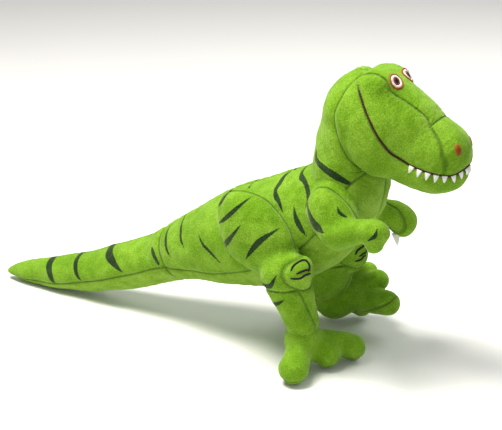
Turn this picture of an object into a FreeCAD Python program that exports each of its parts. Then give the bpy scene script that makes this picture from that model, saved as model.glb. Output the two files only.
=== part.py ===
import FreeCAD, Part
import math
import os

# Stuffed tyrannosaur, standing on two feet and its tail. Millimetres, +X forward, +Y its left, +Z up.
# Every soft section is a cloth skin round a stuffing core. The sections meet at ball and plane gaps,
# so that the head, tail, arms, legs and feet can turn without touching the trunk.

Vector = FreeCAD.Vector
UPWARD = Vector(0, 0, 1)
SIDEWAYS = Vector(0, 1, 0)

# Driving dimensions
CLOTH = 3.0            # plush cloth with its pile
TRIM = 1.0             # felt, and the raised satin stitch of the eyes, nostrils, mouth and knees
GAP = 0.4              # air left at every turning interface
FILL_GAP = 0.2         # between a skin and its stuffing
FAR = 400.0            # longer than the toy, for cutting tools
ROUND = 0.01           # how much wider than high the roundest oval is

# Rows of the swept trunk and tail: x, y, z of the centre, radius in side view, half width
TAIL_ROWS = [(-268, -13, 6.5, 4, 4), (-254, -12, 8, 8.5, 8.5), (-219, -11, 14, 14.5, 14.5),
             (-185, -9, 18.5, 18.5, 19), (-152, -6, 27, 22.5, 23), (-119, -4, 37, 24.5, 26),
             (-87, -2, 49, 26, 28), (-50, 0, 66, 29, 33)]
TRUNK_ROWS = [(-50, 0, 66, 29, 33), (-16, 0, 81, 34, 40), (12, 0, 93, 40, 46), (41, 0, 105, 46, 50),
              (75, 0, 117, 50, 52), (105, 0, 130, 50, 52), (132, 0, 151, 45, 49), (150, 0, 174, 38, 44)]
NECK_ROWS = [(150, 0, 174, 38, 44), (154, 0, 198, 36, 41), (159, 0, 222, 36, 41), (166, 0, 245, 37, 42)]

# Pivots, and the radii of the balls round which the cloth bends
NECK_PIVOT = (151, 0, 188)
NECK_BALL = 42.0
TAIL_PIVOT = (-50, 0, 66)
TAIL_BALL = 36.0
ANKLE_BALL = 19.5
HIP_FACE = 48.0        # half width of the trunk between the thighs
SHOULDER_FACE = 40.0   # half width of the trunk between the arms
SHOULDER_BACK = 125.0  # where the trunk narrows from one to the other
CROTCH = 76.0          # above this height a leg stays outside the hip face

# Ellipsoids: centre, radii, nose-down pitch in degrees
CRANIUM = ((172, 0, 250), (42, 41, 44), 0)
SNOUT = ((209, 0, 239), (58, 34, 36), 40)
NOSE = ((241, 0, 222), (29, 29, 28), 34)
JAW = ((222, 0, 208), (48, 31, 21), 12)
CHEEK = ((187, 20, 232), (27, 26, 36), 0)
BROW = ((186, 15, 284), (14, 12, 11), 0)

# Each side: -1 is the right, +1 the left. The toy stands with its right leg forward and its left toes up.
THIGH = {-1: ((82, -50, 132), (50, 26, 40), 40), 1: ((88, 50, 118), (46, 24, 36), 35)}
KNEE = {-1: ((130, -62, 104), (15, 15, 17), 0), 1: ((132, 60, 92), (14, 14, 18), 0)}
SHIN = {-1: ((116, -56, 98), (130, -50, 52), 24, 17), 1: ((108, 56, 88), (108, 62, 44), 24, 18)}
ANKLE = {-1: (130, -50, 45), 1: (110, 66, 38)}
HEEL = {-1: ((130, -48, 24), (20, 20, 25), 0), 1: ((116, 72, 22), (22, 22, 22.5), 0)}
TOES = {-1: [((132, -54, 20), (140, -83, 13.5), 11, 14.5), ((136, -47, 21), (160, -46, 13.5), 10, 14.5),
             ((134, -41, 19), (172, -18, 13), 11, 13.5)],
        1: [((124, 68, 26), (174, 62, 44), 13, 11.5), ((123, 74, 27), (158, 80, 52), 12, 11),
            ((118, 78, 25), (146, 91, 56), 12.5, 10), ((117, 76, 18), (132, 84, 12), 11, 12.5)]}
SHOULDER = {-1: ((168, -46, 163), (34, 18, 24), 62), 1: ((162, 46, 150), (24, 18, 22), 45)}
FOREARM = {-1: ((178, -58, 148), (207, -60, 155), 17, 16), 1: ((169, 57, 146), (180, 58, 132), 13, 16)}
HAND = {-1: ((208, -62, 145), (12, 11, 14), 0), 1: ((188, 59, 122), (13, 12, 15), 0)}
CLAW = {-1: (196, -52, 136), 1: (176, 56, 113)}
CLAW_WIDTH = 9.0
CLAW_LENGTH = 13.0
SOLE_TOP = 7.0         # height of the seam between sole and foot upper

# Seam lines in side view: x, z
BELLY_SEAM = [(-100, 44), (-50, 62), (12, 88), (75, 112), (125, 140), (152, 176), (160, 240)]
BELLY_HALF_WIDTH = 27.0
TAIL_SEAM = [(-300, -4), (-268, 3), (-219, 8), (-152, 18), (-87, 38), (-40, 58)]
NAPE_SEAM = [(173, 330), (173, 290), (156, 274), (153, 255), (160, 235), (171, 215), (184, 204), (201, 193),
             (201, 140)]
MOUTH_LINE = [(172, 282), (181, 260), (197, 234), (210, 223), (224, 216), (241, 211), (258, 210), (272, 214),
              (290, 226)]
NOSE_SEAM = [(172, 189), (300, 343)]
TOP_HALF_WIDTH = 18.0
MOUTH_LINE_WIDTH = 2.0

# Face trim
EYE_AT = (202, 10, 285)
EYE_FACING = (0.75, 0.38, 0.54)
EYE_RADII = [("eye_rim", 7.6, 6.2), ("eye_white", 6.2, 3.9), ("eye_iris", 3.9, 2.2), ("eye_pupil", 2.2, 0.0)]
NOSTRIL_AT = (262, 12, 232)
NOSTRIL_FACING = (0.8, 0.35, 0.49)
NOSTRIL_RADII = (5.6, 3.4)
TEETH_PER_SIDE = 8
TOOTH_WIDTH = 6.0
TOOTH_LENGTH = 10.0
TOOTH_DROP = 2.6        # from the middle of the mouth's stitching down to the tops of the teeth
TOOTH_ARC = (224, 44, 31)      # centre x, length and half width of the oval that the tooth row follows

SIDES = ((-1, "right"), (1, "left"))


def ball(centre, radius):
    return Part.makeSphere(radius, Vector(*centre))


def egg(shape, inset=0.0, mirror=1, poles=UPWARD):
    """An ellipsoid from (centre, radii, pitch), made smaller all round by inset."""
    (x, y, z), radii, pitch = shape
    scale = FreeCAD.Matrix()
    scale.scale(*[radius - inset for radius in radii])
    solid = Part.makeSphere(1.0, Vector(0, 0, 0), poles).transformGeometry(scale)
    solid.rotate(Vector(0, 0, 0), Vector(0, 1, 0), pitch)
    solid.translate(Vector(x, y * mirror, z))
    return solid


def limb(shape, inset=0.0):
    """A tapered round limb with ball ends, turned from (start, end, start radius, end radius)."""
    start, end, start_radius, end_radius = shape
    start_radius -= inset
    end_radius -= inset
    axis = Vector(*end) - Vector(*start)
    lean = math.asin((start_radius - end_radius) / axis.Length)

    def rim(radius, height, angle):
        return Vector(radius * math.cos(angle), 0, height + radius * math.sin(angle))

    low = Part.Arc(rim(start_radius, 0, -math.pi / 2), rim(start_radius, 0, -math.pi / 6),
                   rim(start_radius, 0, lean))
    high = Part.Arc(rim(end_radius, axis.Length, lean), rim(end_radius, axis.Length, math.pi / 3),
                    rim(end_radius, axis.Length, math.pi / 2))
    edges = [low.toShape(),
             Part.makeLine(low.EndPoint, high.StartPoint),
             high.toShape(),
             Part.makeLine(high.EndPoint, low.StartPoint)]
    solid = Part.Face(Part.Wire(edges)).revolve(Vector(0, 0, 0), Vector(0, 0, 1), 360)
    turn = FreeCAD.Rotation(Vector(0, 0, 1), axis)
    solid.Placement = FreeCAD.Placement(Vector(*start), turn)
    return solid


def swept(rows, inset=0.0):
    """A smooth body through ovals, never higher than wide, that stand square to the line of centres."""
    wires = []
    for index, (x, y, z, radius, half_width) in enumerate(rows):
        before = rows[max(index - 1, 0)]
        after = rows[min(index + 1, len(rows) - 1)]
        along = Vector(after[0] - before[0], 0, after[2] - before[2]).normalize()
        across = Vector(0, 1, 0)
        upward = along.cross(across) * -1
        centre = Vector(x, y, z)
        wide = half_width - inset
        high = min(radius - inset, wide - ROUND)
        oval = Part.Ellipse(centre + across * wide, centre + upward * high, centre)
        wires.append(Part.Wire(oval.toShape()))
    return Part.makeLoft(wires, True, False)


def join(solids):
    first = solids[0]
    if len(solids) == 1:
        return first
    return first.fuse(solids[1:]).removeSplitter()


def side_prism(outline, low_y=-FAR, high_y=FAR):
    """The block over an (x, z) outline between two y values."""
    points = [Vector(x, low_y, z) for x, z in outline]
    face = Part.Face(Part.makePolygon(points + points[:1]))
    return face.extrude(Vector(0, high_y - low_y, 0))


def plan_prism(outline):
    """The block over an (x, y) outline through the whole height."""
    points = [Vector(x, y, -FAR) for x, y in outline]
    face = Part.Face(Part.makePolygon(points + points[:1]))
    return face.extrude(Vector(0, 0, 2 * FAR))


def block(low, high):
    size = [b - a for a, b in zip(low, high)]
    return Part.makeBox(size[0], size[1], size[2], Vector(*low))


def half(side, limit=0.0):
    """Everything on one side beyond y = limit."""
    if side > 0:
        return block((-FAR, limit, -FAR), (FAR, FAR, FAR))
    return block((-FAR, -FAR, -FAR), (FAR, -limit, FAR))


def between(limit):
    """Everything within limit of the middle plane."""
    return block((-FAR, -limit, -FAR), (FAR, limit, FAR))


def largest(shape):
    return max(shape.Solids, key=lambda solid: solid.Volume)


def write(name, shape, pieces=1):
    """Keep the given number of largest solids and write them as one part."""
    solids = sorted(shape.Solids, key=lambda solid: -solid.Volume)[:pieces]
    if len(solids) < pieces:
        raise ValueError(name + " has too few solids")
    kept = solids[0] if pieces == 1 else Part.makeCompound(solids)
    kept.exportStep("parts/" + name + ".step")


def wedge(pivot, low_angle, high_angle):
    """The sector in side view seen from a pivot between two elevations, in degrees."""
    x, _, z = pivot
    points = [(x, z)]
    steps = 4
    for step in range(steps + 1):
        angle = math.radians(low_angle + (high_angle - low_angle) * step / steps)
        points.append((x + FAR * math.cos(angle), z + FAR * math.sin(angle)))
    return side_prism(points)


# Trunk

def trunk(inset):
    body = swept(TRUNK_ROWS, inset)
    above_collar = wedge(NECK_PIVOT, -14 - inset, 181 + inset)
    body = body.cut(above_collar)
    body = body.common(block((TAIL_PIVOT[0] + inset, -HIP_FACE + inset, -FAR), (FAR, HIP_FACE - inset, FAR)))
    for side, _ in SIDES:
        narrow = block((SHOULDER_BACK - inset, SHOULDER_FACE - inset, -FAR), (FAR, FAR, FAR))
        if side < 0:
            narrow = narrow.mirror(Vector(0, 0, 0), Vector(0, 1, 0))
        body = body.cut(narrow)
    balls = [ball(NECK_PIVOT, NECK_BALL - inset), ball(TAIL_PIVOT, TAIL_BALL - inset)]
    waist = block((-FAR, -SHOULDER_FACE + inset, -FAR), (FAR, SHOULDER_FACE - inset, FAR))
    return join([body, balls[0].common(waist), balls[1]])


def build_trunk():
    outer = trunk(0)
    skin = outer.cut(trunk(CLOTH))
    below = BELLY_SEAM + [(FAR, 240), (FAR, -FAR), (-100, -FAR)]
    belly = side_prism(below, -BELLY_HALF_WIDTH, BELLY_HALF_WIDTH)
    flanks = skin.cut(belly)
    belly_skin = skin.common(belly)
    for side, name in SIDES:
        write("torso_panel_" + name, flanks.common(half(side)))
        write("belly_panel_" + name, belly_skin.common(half(side)))
    write("torso_stuffing", trunk(CLOTH + FILL_GAP))


# Tail

def tail(inset):
    body = swept(TAIL_ROWS, inset)
    body = body.cut(ball(TAIL_PIVOT, TAIL_BALL + GAP + inset))
    x = TAIL_PIVOT[0] - inset
    back = FAR * math.tan(math.radians(25))
    behind = plan_prism([(x, 0), (x - back, FAR), (x - 2 * FAR, FAR), (x - 2 * FAR, -FAR), (x - back, -FAR)])
    above_ground = block((-FAR, -FAR, inset), (FAR, FAR, FAR))
    return body.common(behind).common(above_ground)


def build_tail():
    skin = tail(0).cut(tail(CLOTH))
    below = side_prism(TAIL_SEAM + [(-40, -FAR), (-300, -FAR)])
    upper = skin.cut(below)
    write("tail_gusset", skin.common(below))
    for side, name in SIDES:
        x, y = TAIL_ROWS[0][0], TAIL_ROWS[0][1]
        outline = [(0, 0), (TAIL_PIVOT[0], 0), (x, y), (x - 20, y), (x - 20, side * FAR), (0, side * FAR)]
        write("tail_panel_" + name, upper.common(plan_prism(outline)))
    write("tail_stuffing", tail(CLOTH + FILL_GAP))


# Head

def head(inset):
    lumps = [egg(CRANIUM, inset), swept(NECK_ROWS, inset), egg(SNOUT, inset), egg(NOSE, inset), egg(JAW, inset)]
    for side, _ in SIDES:
        lumps.append(egg(CHEEK, inset, side))
        lumps.append(egg(BROW, inset, side))
    solid = join(lumps)
    solid = solid.cut(ball(NECK_PIVOT, NECK_BALL + GAP + max(inset, 0)))
    return largest(solid.cut(wedge(NECK_PIVOT, 160 - inset, 355 + inset)))


def line_band(points, width):
    """A band of the given width along an (x, z) line."""
    upper = [(x, z + width / 2) for x, z in points]
    lower = [(x, z - width / 2) for x, z in reversed(points)]
    return side_prism(upper + lower)


def line_height(points, x):
    for (x0, z0), (x1, z1) in zip(points, points[1:]):
        if x0 <= x <= x1:
            return z0 + (z1 - z0) * (x - x0) / (x1 - x0)
    raise ValueError("x is off the line")


def peg(at, facing, radius, side, squeeze=1.0, reach=14.0):
    """A round or oval peg through the face at a point, square to the way it looks."""
    axis = Vector(facing[0], facing[1] * side, facing[2]).normalize()
    solid = Part.makeCylinder(radius, 2 * reach, Vector(0, 0, -reach))
    if squeeze != 1.0:
        scale = FreeCAD.Matrix()
        scale.scale(1.0, squeeze, 1.0)
        solid = solid.transformGeometry(scale)
    turn = FreeCAD.Rotation(Vector(0, 0, 1), axis)
    solid.Placement = FreeCAD.Placement(Vector(at[0], at[1] * side, at[2]), turn)
    return solid


def tooth(index, side):
    """A triangular peg pointing down, where one tooth hangs from the mouth line."""
    turn = math.radians(86 - index * (86 - 9) / (TEETH_PER_SIDE - 1))
    middle, length, half_width = TOOTH_ARC
    x = middle + length * math.cos(turn)
    y = side * half_width * math.sin(turn)
    outward = Vector(math.cos(turn) / length, side * math.sin(turn) / half_width, 0).normalize()
    along = Vector(0, 0, 1).cross(outward)
    top = line_height(MOUTH_LINE, min(x, 271)) - TOOTH_DROP
    root = Vector(x, y, top) - outward * 14
    half_root = along * (TOOTH_WIDTH / 2)
    corners = [root - half_root, root + half_root, root - Vector(0, 0, TOOTH_LENGTH)]
    return Part.Face(Part.makePolygon(corners + corners[:1])).extrude(outward * 28)


def build_head():
    outer = head(0)
    skin = outer.cut(head(CLOTH))
    behind = side_prism(NAPE_SEAM + [(-FAR, 140), (-FAR, 330)])
    nape = skin.common(behind)
    face = skin.cut(behind)
    under_mouth = side_prism([(100, 282)] + MOUTH_LINE + [(FAR, 226), (FAR, 100), (100, 100)])
    write("jaw_panel", face.common(under_mouth))
    upper = face.cut(under_mouth)
    strip = block((0, -TOP_HALF_WIDTH, 0), (FAR, TOP_HALF_WIDTH, FAR))
    top = upper.common(strip)
    sides = upper.cut(strip)
    ahead = side_prism(NOSE_SEAM + [(FAR, 343), (FAR, 189)])
    write("nose_panel", top.common(ahead))
    write("snout_top_panel", top.cut(ahead))
    for side, name in SIDES:
        write("nape_panel_" + name, nape.common(half(side)))
        write("cheek_panel_" + name, sides.common(half(side)))
    write("head_stuffing", head(CLOTH + FILL_GAP))
    build_face_trim(head(-TRIM).cut(outer))


def build_face_trim(layer):
    """Felt teeth and satin stitch, one thin layer on the cloth of the face."""
    write("mouth_stitching", layer.common(line_band(MOUTH_LINE, MOUTH_LINE_WIDTH)))
    for side, name in SIDES:
        teeth = [largest(layer.common(tooth(index, side))) for index in range(TEETH_PER_SIDE)]
        write("teeth_" + name, Part.makeCompound(teeth), TEETH_PER_SIDE)
        for label, radius, hole in EYE_RADII:
            disc = layer.common(peg(EYE_AT, EYE_FACING, radius, side))
            if hole:
                disc = disc.cut(peg(EYE_AT, EYE_FACING, hole, side))
            write(label + "_" + name, disc)
        long_radius, short_radius = NOSTRIL_RADII
        oval = peg(NOSTRIL_AT, NOSTRIL_FACING, long_radius, side, short_radius / long_radius)
        write("nostril_" + name, layer.common(oval))


# Arms

def arm(side, inset):
    lumps = [egg(SHOULDER[side], inset, poles=SIDEWAYS), limb(FOREARM[side], inset), egg(HAND[side], inset)]
    return largest(join(lumps).common(half(side, SHOULDER_FACE + GAP + inset)))


def claw(side):
    """A flat felt triangle, point down."""
    x, y, z = CLAW[side]
    outline = [(x - CLAW_WIDTH / 2, z), (x + CLAW_WIDTH / 2, z), (x + 1, z - CLAW_LENGTH)]
    return side_prism(outline, y - TRIM, y + TRIM)


def build_arm(side, name):
    outer = arm(side, 0)
    skin = outer.cut(arm(side, CLOTH))
    parting = (SHOULDER[side][0][1] + FOREARM[side][0][1]) / 2
    write("arm_panel_outer_" + name, skin.common(half(side, abs(parting))))
    write("arm_panel_inner_" + name, skin.common(between(abs(parting))))
    write("arm_stuffing_" + name, arm(side, CLOTH + FILL_GAP))
    write("claw_" + name, claw(side).cut(outer))


# Legs

def leg(side, inset):
    """The thigh, knee and shin, outside the hip face above the crotch, with a ball at the ankle."""
    shin = limb(SHIN[side], inset)
    face = HIP_FACE + GAP + max(inset, 0)
    inside = block((-FAR, -face, CROTCH - inset), (FAR, face, FAR))
    thigh = egg(THIGH[side], inset, poles=SIDEWAYS)
    knee = egg(KNEE[side], inset, poles=SIDEWAYS)
    parts = [thigh, shin, knee, ball(ANKLE[side], ANKLE_BALL - inset)]
    return largest(join(parts).cut(inside))


def build_leg(side, name):
    outer = leg(side, 0)
    skin = outer.cut(leg(side, CLOTH))
    (knee_x, knee_y, knee_z), (_, _, knee_radius), _ = KNEE[side]
    front = knee_x - 4
    knee = block((front, -FAR, knee_z - knee_radius), (FAR, FAR, knee_z + knee_radius))
    write("knee_patch_" + name, skin.common(knee))
    rest = skin.cut(knee)
    shin_top = max(knee_z - knee_radius, CROTCH + CLOTH)
    below_knee = block((-FAR, -FAR, -FAR), (FAR, FAR, shin_top))
    shin_skin = rest.common(below_knee)
    thigh_skin = rest.cut(below_knee)
    lining = HIP_FACE + GAP + CLOTH
    write("thigh_panel_outer_" + name, thigh_skin.common(half(side, lining)))
    write("thigh_panel_inner_" + name, thigh_skin.common(between(lining)))
    parting = abs(ANKLE[side][1])
    write("shin_panel_outer_" + name, shin_skin.common(half(side, parting)))
    write("shin_panel_inner_" + name, shin_skin.common(between(parting)))
    write("leg_stuffing_" + name, leg(side, CLOTH + FILL_GAP))
    layer = leg(side, -TRIM).cut(outer)
    lines = [line_band([(front, knee_z + drop), (knee_x + 40, knee_z + drop)], 1.2) for drop in (5, 0, -5)]
    ahead = side_prism([(knee_x + 4, 0), (FAR, 0), (FAR, FAR), (knee_x + 4, FAR)])
    threads = [largest(layer.common(line).common(ahead)) for line in lines]
    write("knee_stitching_" + name, Part.makeCompound(threads), len(threads))


# Feet

def foot(side, inset):
    lumps = [egg(HEEL[side], inset, poles=SIDEWAYS)] + [limb(toe, inset) for toe in TOES[side]]
    above_ground = block((-FAR, -FAR, inset), (FAR, FAR, FAR))
    solid = join(lumps).common(above_ground)
    return largest(solid.cut(ball(ANKLE[side], ANKLE_BALL + GAP + inset)))


def build_foot(side, name):
    skin = foot(side, 0).cut(foot(side, CLOTH))
    sole = block((-FAR, -FAR, -1), (FAR, FAR, SOLE_TOP))
    write("foot_sole_" + name, skin.common(sole))
    write("foot_upper_" + name, skin.cut(sole))
    write("foot_stuffing_" + name, foot(side, CLOTH + FILL_GAP))


os.makedirs("parts", exist_ok=True)
build_trunk()
build_tail()
build_head()
for which, label in SIDES:
    build_arm(which, label)
    build_leg(which, label)
    build_foot(which, label)
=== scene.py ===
"""Stuffed tyrannosaur: plush skins, felt and thread trim, and filling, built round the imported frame.

Each stuffed section is described by a distance function in millimetres in the row frame (+X forward, +Y its
left, +Z up). Its surface is meshed finely, pulled in along the seams, and cut along them into cloth panels.
"""
import math

import bmesh
import bpy
import numpy as np
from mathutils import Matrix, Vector


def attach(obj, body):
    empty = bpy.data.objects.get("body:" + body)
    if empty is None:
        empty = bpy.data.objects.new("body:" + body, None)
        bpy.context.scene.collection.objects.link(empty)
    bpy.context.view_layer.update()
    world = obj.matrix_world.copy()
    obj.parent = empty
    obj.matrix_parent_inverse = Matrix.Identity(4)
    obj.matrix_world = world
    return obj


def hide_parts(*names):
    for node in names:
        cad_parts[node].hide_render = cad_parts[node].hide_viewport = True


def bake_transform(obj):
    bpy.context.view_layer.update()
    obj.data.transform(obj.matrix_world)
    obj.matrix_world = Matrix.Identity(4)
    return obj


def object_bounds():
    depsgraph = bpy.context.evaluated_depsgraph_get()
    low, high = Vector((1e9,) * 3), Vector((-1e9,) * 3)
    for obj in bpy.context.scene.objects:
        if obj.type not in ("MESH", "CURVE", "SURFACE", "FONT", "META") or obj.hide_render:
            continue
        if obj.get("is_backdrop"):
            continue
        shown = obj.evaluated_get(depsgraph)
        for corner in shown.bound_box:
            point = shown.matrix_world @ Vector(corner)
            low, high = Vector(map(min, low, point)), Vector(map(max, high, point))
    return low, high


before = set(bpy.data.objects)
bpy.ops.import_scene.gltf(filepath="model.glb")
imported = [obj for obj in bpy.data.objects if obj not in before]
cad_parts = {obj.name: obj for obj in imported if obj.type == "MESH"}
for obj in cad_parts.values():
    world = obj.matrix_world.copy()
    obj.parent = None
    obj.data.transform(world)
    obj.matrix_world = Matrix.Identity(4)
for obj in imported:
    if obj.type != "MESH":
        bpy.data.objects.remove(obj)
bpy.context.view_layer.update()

MM = 0.001
RIGHT, LEFT = -1, 1
SIDES = ((RIGHT, "right"), (LEFT, "left"))
CELL = 1.7           # mesh size of the plush


# ---------------------------------------------------------------- distance functions

def rounded(p, centre, radii, pitch=0.0, yaw=0.0):
    """An egg: nose tipped down by pitch and turned left by yaw, in degrees."""
    t, y = math.radians(pitch), math.radians(yaw)
    lean = np.array([[math.cos(t), 0, math.sin(t)], [0, 1, 0], [-math.sin(t), 0, math.cos(t)]])
    turn = np.array([[math.cos(y), -math.sin(y), 0], [math.sin(y), math.cos(y), 0], [0, 0, 1]])
    q = (p - np.array(centre, np.float32)) @ (turn @ lean).astype(np.float32)
    r = np.array(radii, np.float32)
    near = np.sqrt(((q / r) ** 2).sum(-1)) + 1e-9
    return near * (near - 1) / (np.sqrt(((q / (r * r)) ** 2).sum(-1)) + 1e-9)


def limb(p, start, end, start_radius, end_radius):
    a, b = np.array(start, np.float32), np.array(end, np.float32)
    along = np.clip((p - a) @ (b - a) / ((b - a) @ (b - a)), 0, 1)
    return np.linalg.norm(p - a - along[..., None] * (b - a), axis=-1) - (
        start_radius + (end_radius - start_radius) * along)


def soft_join(a, b, radius):
    h = np.clip(0.5 + 0.5 * (b - a) / radius, 0, 1)
    return b + (a - b) * h - radius * h * (1 - h)


def soft_trim(a, b, radius):
    """What lies in both a and b, with a rounded edge."""
    return -soft_join(-a, -b, radius)


def smooth_line(points, steps):
    """Points along a smooth curve through the given ones."""
    rows = np.array(points, float)
    rows = np.vstack([2 * rows[0] - rows[1], rows, 2 * rows[-1] - rows[-2]])
    out = []
    for a, b, c, d in zip(rows, rows[1:], rows[2:], rows[3:]):
        t = np.arange(steps)[:, None] / steps
        out.append(0.5 * (2 * b + (c - a) * t + (2 * a - 5 * b + 4 * c - d) * t ** 2
                          + (3 * b - a - 3 * c + d) * t ** 3))
    return np.vstack(out + [rows[-2:-1]])


def swept(p, rows, steps=4):
    """A body swept along rows of (x, y, z, radius in side view, half width)."""
    line = smooth_line(rows, steps).astype(np.float32)
    best = np.full(p.shape[:-1], 1e9, np.float32)
    for a, b in zip(line, line[1:]):
        run = b[[0, 2]] - a[[0, 2]]
        t = np.clip((p[..., [0, 2]] - a[[0, 2]]) @ run / (run @ run), 0, 1)
        row = a + t[..., None] * (b - a)
        high = ((p[..., [0, 2]] - row[..., [0, 2]]) ** 2).sum(-1)
        wide = (p[..., 1] - row[..., 1]) ** 2
        near = np.sqrt(high / row[..., 3] ** 2 + wide / row[..., 4] ** 2) + 1e-9
        rate = np.sqrt(high / row[..., 3] ** 4 + wide / row[..., 4] ** 4) + 1e-9
        best = np.minimum(best, near * (near - 1) / rate)
    return best


# ---------------------------------------------------------------- shape of each section

TRUNK_ROWS = [(-262, -13, 8, 4.5, 4.5), (-250, -12, 10, 9, 9), (-219, -11, 15, 15, 15),
              (-185, -9, 20.5, 19, 19), (-152, -6, 28, 22.5, 23), (-119, -4, 38, 25, 26),
              (-87, -2, 50, 26.5, 28), (-60, 0, 61, 27, 31), (-46, 0, 69, 29.5, 34), (-16, 0, 83, 35, 40),
              (12, 0, 93, 43, 46), (41, 0, 104, 50, 50), (75, 0, 116.5, 53.5, 52),
              (105, 0, 131, 52, 52), (132, 0, 152, 45, 49), (150, 0, 174, 38.5, 44),
              (154, 0, 198, 36.5, 41), (159, 0, 222, 36.5, 41),
              (166, 0, 245, 37.5, 42)]
NAPE_SEAM = [(176, 330), (174, 300), (158, 276), (153, 255), (158, 235), (169, 215), (184, 202), (205, 192),
             (235, 186)]
MOUTH = [(173, 281), (185, 262), (196, 245), (204, 234), (213, 224), (224, 217), (241, 212), (257, 208),
         (265, 208), (272, 214), (290, 228)]


def trunk(p):
    """Trunk, tail, neck and the back of the head, which are one stuffed sack."""
    return soft_join(swept(p, TRUNK_ROWS), rounded(p, (172, 0, 250), (41, 40, 43)), 10)


def skull(p):
    d = rounded(p, (173, 0, 250), (43, 43, 44.5))
    d = soft_join(d, rounded(p, (209, 0, 239), (58, 34, 36), 40), 12)
    d = soft_join(d, rounded(p, (241.5, 0, 221.5), (30, 29.5, 30), 34), 10)
    d = soft_join(d, rounded(p, (218, 0, 208), (48, 31, 21), 12), 10)
    for side in (RIGHT, LEFT):
        d = soft_join(d, rounded(p, (187, side * 20, 232), (27, 26, 36)), 10)
        d = soft_join(d, rounded(p, (185, side * 15, 283), (14, 12, 10)), 11)
    return d


def head(p):
    """The face: everything ahead of the seam that runs over the crown and behind the cheeks."""
    return soft_trim(skull(p), side_distance(p, NAPE_SEAM) + 1.0, 5)


def side_distance(p, line):
    """Signed distance in side view to an (x, z) line: negative on its left as it is walked."""
    x, z = p[..., 0], p[..., 2]
    points = smooth_line(line, 4)
    best = np.full(x.shape, 1e9)
    sign = np.ones(x.shape)
    for a, b in zip(points, points[1:]):
        run = b - a
        t = np.clip(((x - a[0]) * run[0] + (z - a[1]) * run[1]) / (run @ run), 0, 1)
        dx, dz = x - a[0] - t * run[0], z - a[1] - t * run[1]
        square = dx * dx + dz * dz
        closer = square < best
        best = np.where(closer, square, best)
        sign = np.where(closer, np.sign(run[1] * dx - run[0] * dz), sign)
    return (np.sqrt(best) * sign).astype(np.float32)


def thigh(p, side):
    if side == RIGHT:
        return rounded(p, (80, -48, 130), (49, 26, 36), 42)
    return rounded(p, (92, 49, 116), (46, 24, 36), 28)


def leg(p, side):
    if side == RIGHT:
        shin = limb(p, (114, -56, 98), (130, -50, 50), 24, 16.5)
        knee = rounded(p, (130, -60, 105), (15, 15, 17))
    else:
        shin = limb(p, (114, 54, 90), (101, 58, 50), 26, 25)
        knee = rounded(p, (134, 52, 88), (15, 15, 22))
    return soft_join(soft_join(thigh(p, side), shin, 6), knee, 6)


def foot(p, side):
    if side == RIGHT:
        root = (130, -46, 32)
        d = rounded(p, (130, -48, 28), (18, 18, 24))
        toes = [((138, -81, 14), 14.5), ((150, -37, 15), 14), ((165, -10, 14), 13)]
        start = 10
    else:
        root = (118, 72, 30)
        d = rounded(p, (108, 66, 27), (24, 23, 24))
        toes = [((171, 60, 35), 12.5), ((151, 78, 50), 11), ((135, 88, 53), 10), ((130, 84, 16), 13)]
        start = 16
    for tip, radius in toes:
        d = soft_join(d, limb(p, root, tip, start, radius), 4)
    return soft_trim(d, 0.3 - p[..., 2], 1.5)


def arm_alone(p, side):
    if side == RIGHT:
        d = rounded(p, (160, -47, 158), (33, 19, 22), 55)
        d = soft_join(d, limb(p, (166, -57, 148), (204, -62, 160), 13.5, 10.5), 5)
        return soft_join(d, limb(p, (209, -62, 158), (208, -62, 148), 12.5, 9), 4)
    d = rounded(p, (150, 40, 146), (21, 18, 20), 45)
    d = soft_join(d, limb(p, (160, 48, 137), (176, 54, 134), 13, 14), 5)
    return soft_join(d, rounded(p, (184, 57, 127), (14, 13, 16)), 5)


def arm(p, side):
    """The arm flows out of the trunk, as its cloth is sewn into it."""
    return soft_join(arm_alone(p, side), trunk(p), 9)


# ---------------------------------------------------------------- meshing

def slope(distance, p):
    """Distance and unit outward normal at each point."""
    step = 0.4
    d = distance(p)
    g = np.empty_like(p)
    for axis in range(3):
        ahead = p.copy()
        ahead[:, axis] += step
        g[:, axis] = distance(ahead) - d
    return d, g / (np.linalg.norm(g, axis=1, keepdims=True) + 1e-9)


def sampled(distance, low, high, cell):
    """Values on a grid. Far from the surface one coarse value stands for a whole block."""
    block = 4
    counts = np.ceil((np.array(high) - np.array(low)) / (cell * block)).astype(int)
    centre = cell * (block - 1) / 2
    axes = [low[i] + centre + cell * block * np.arange(counts[i]) for i in range(3)]
    rough = distance(np.stack(np.meshgrid(*axes, indexing="ij"), -1).astype(np.float32))
    values = rough.repeat(block, 0).repeat(block, 1).repeat(block, 2)
    near = np.argwhere(np.abs(rough) < cell * block * 1.6)
    inner = np.stack(np.meshgrid(*[np.arange(block)] * 3, indexing="ij"), -1).reshape(-1, 3)
    index = near[:, None, :] * block + inner
    values[tuple(np.moveaxis(index, -1, 0))] = distance((np.array(low) + index * cell).astype(np.float32))
    return values


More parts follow.
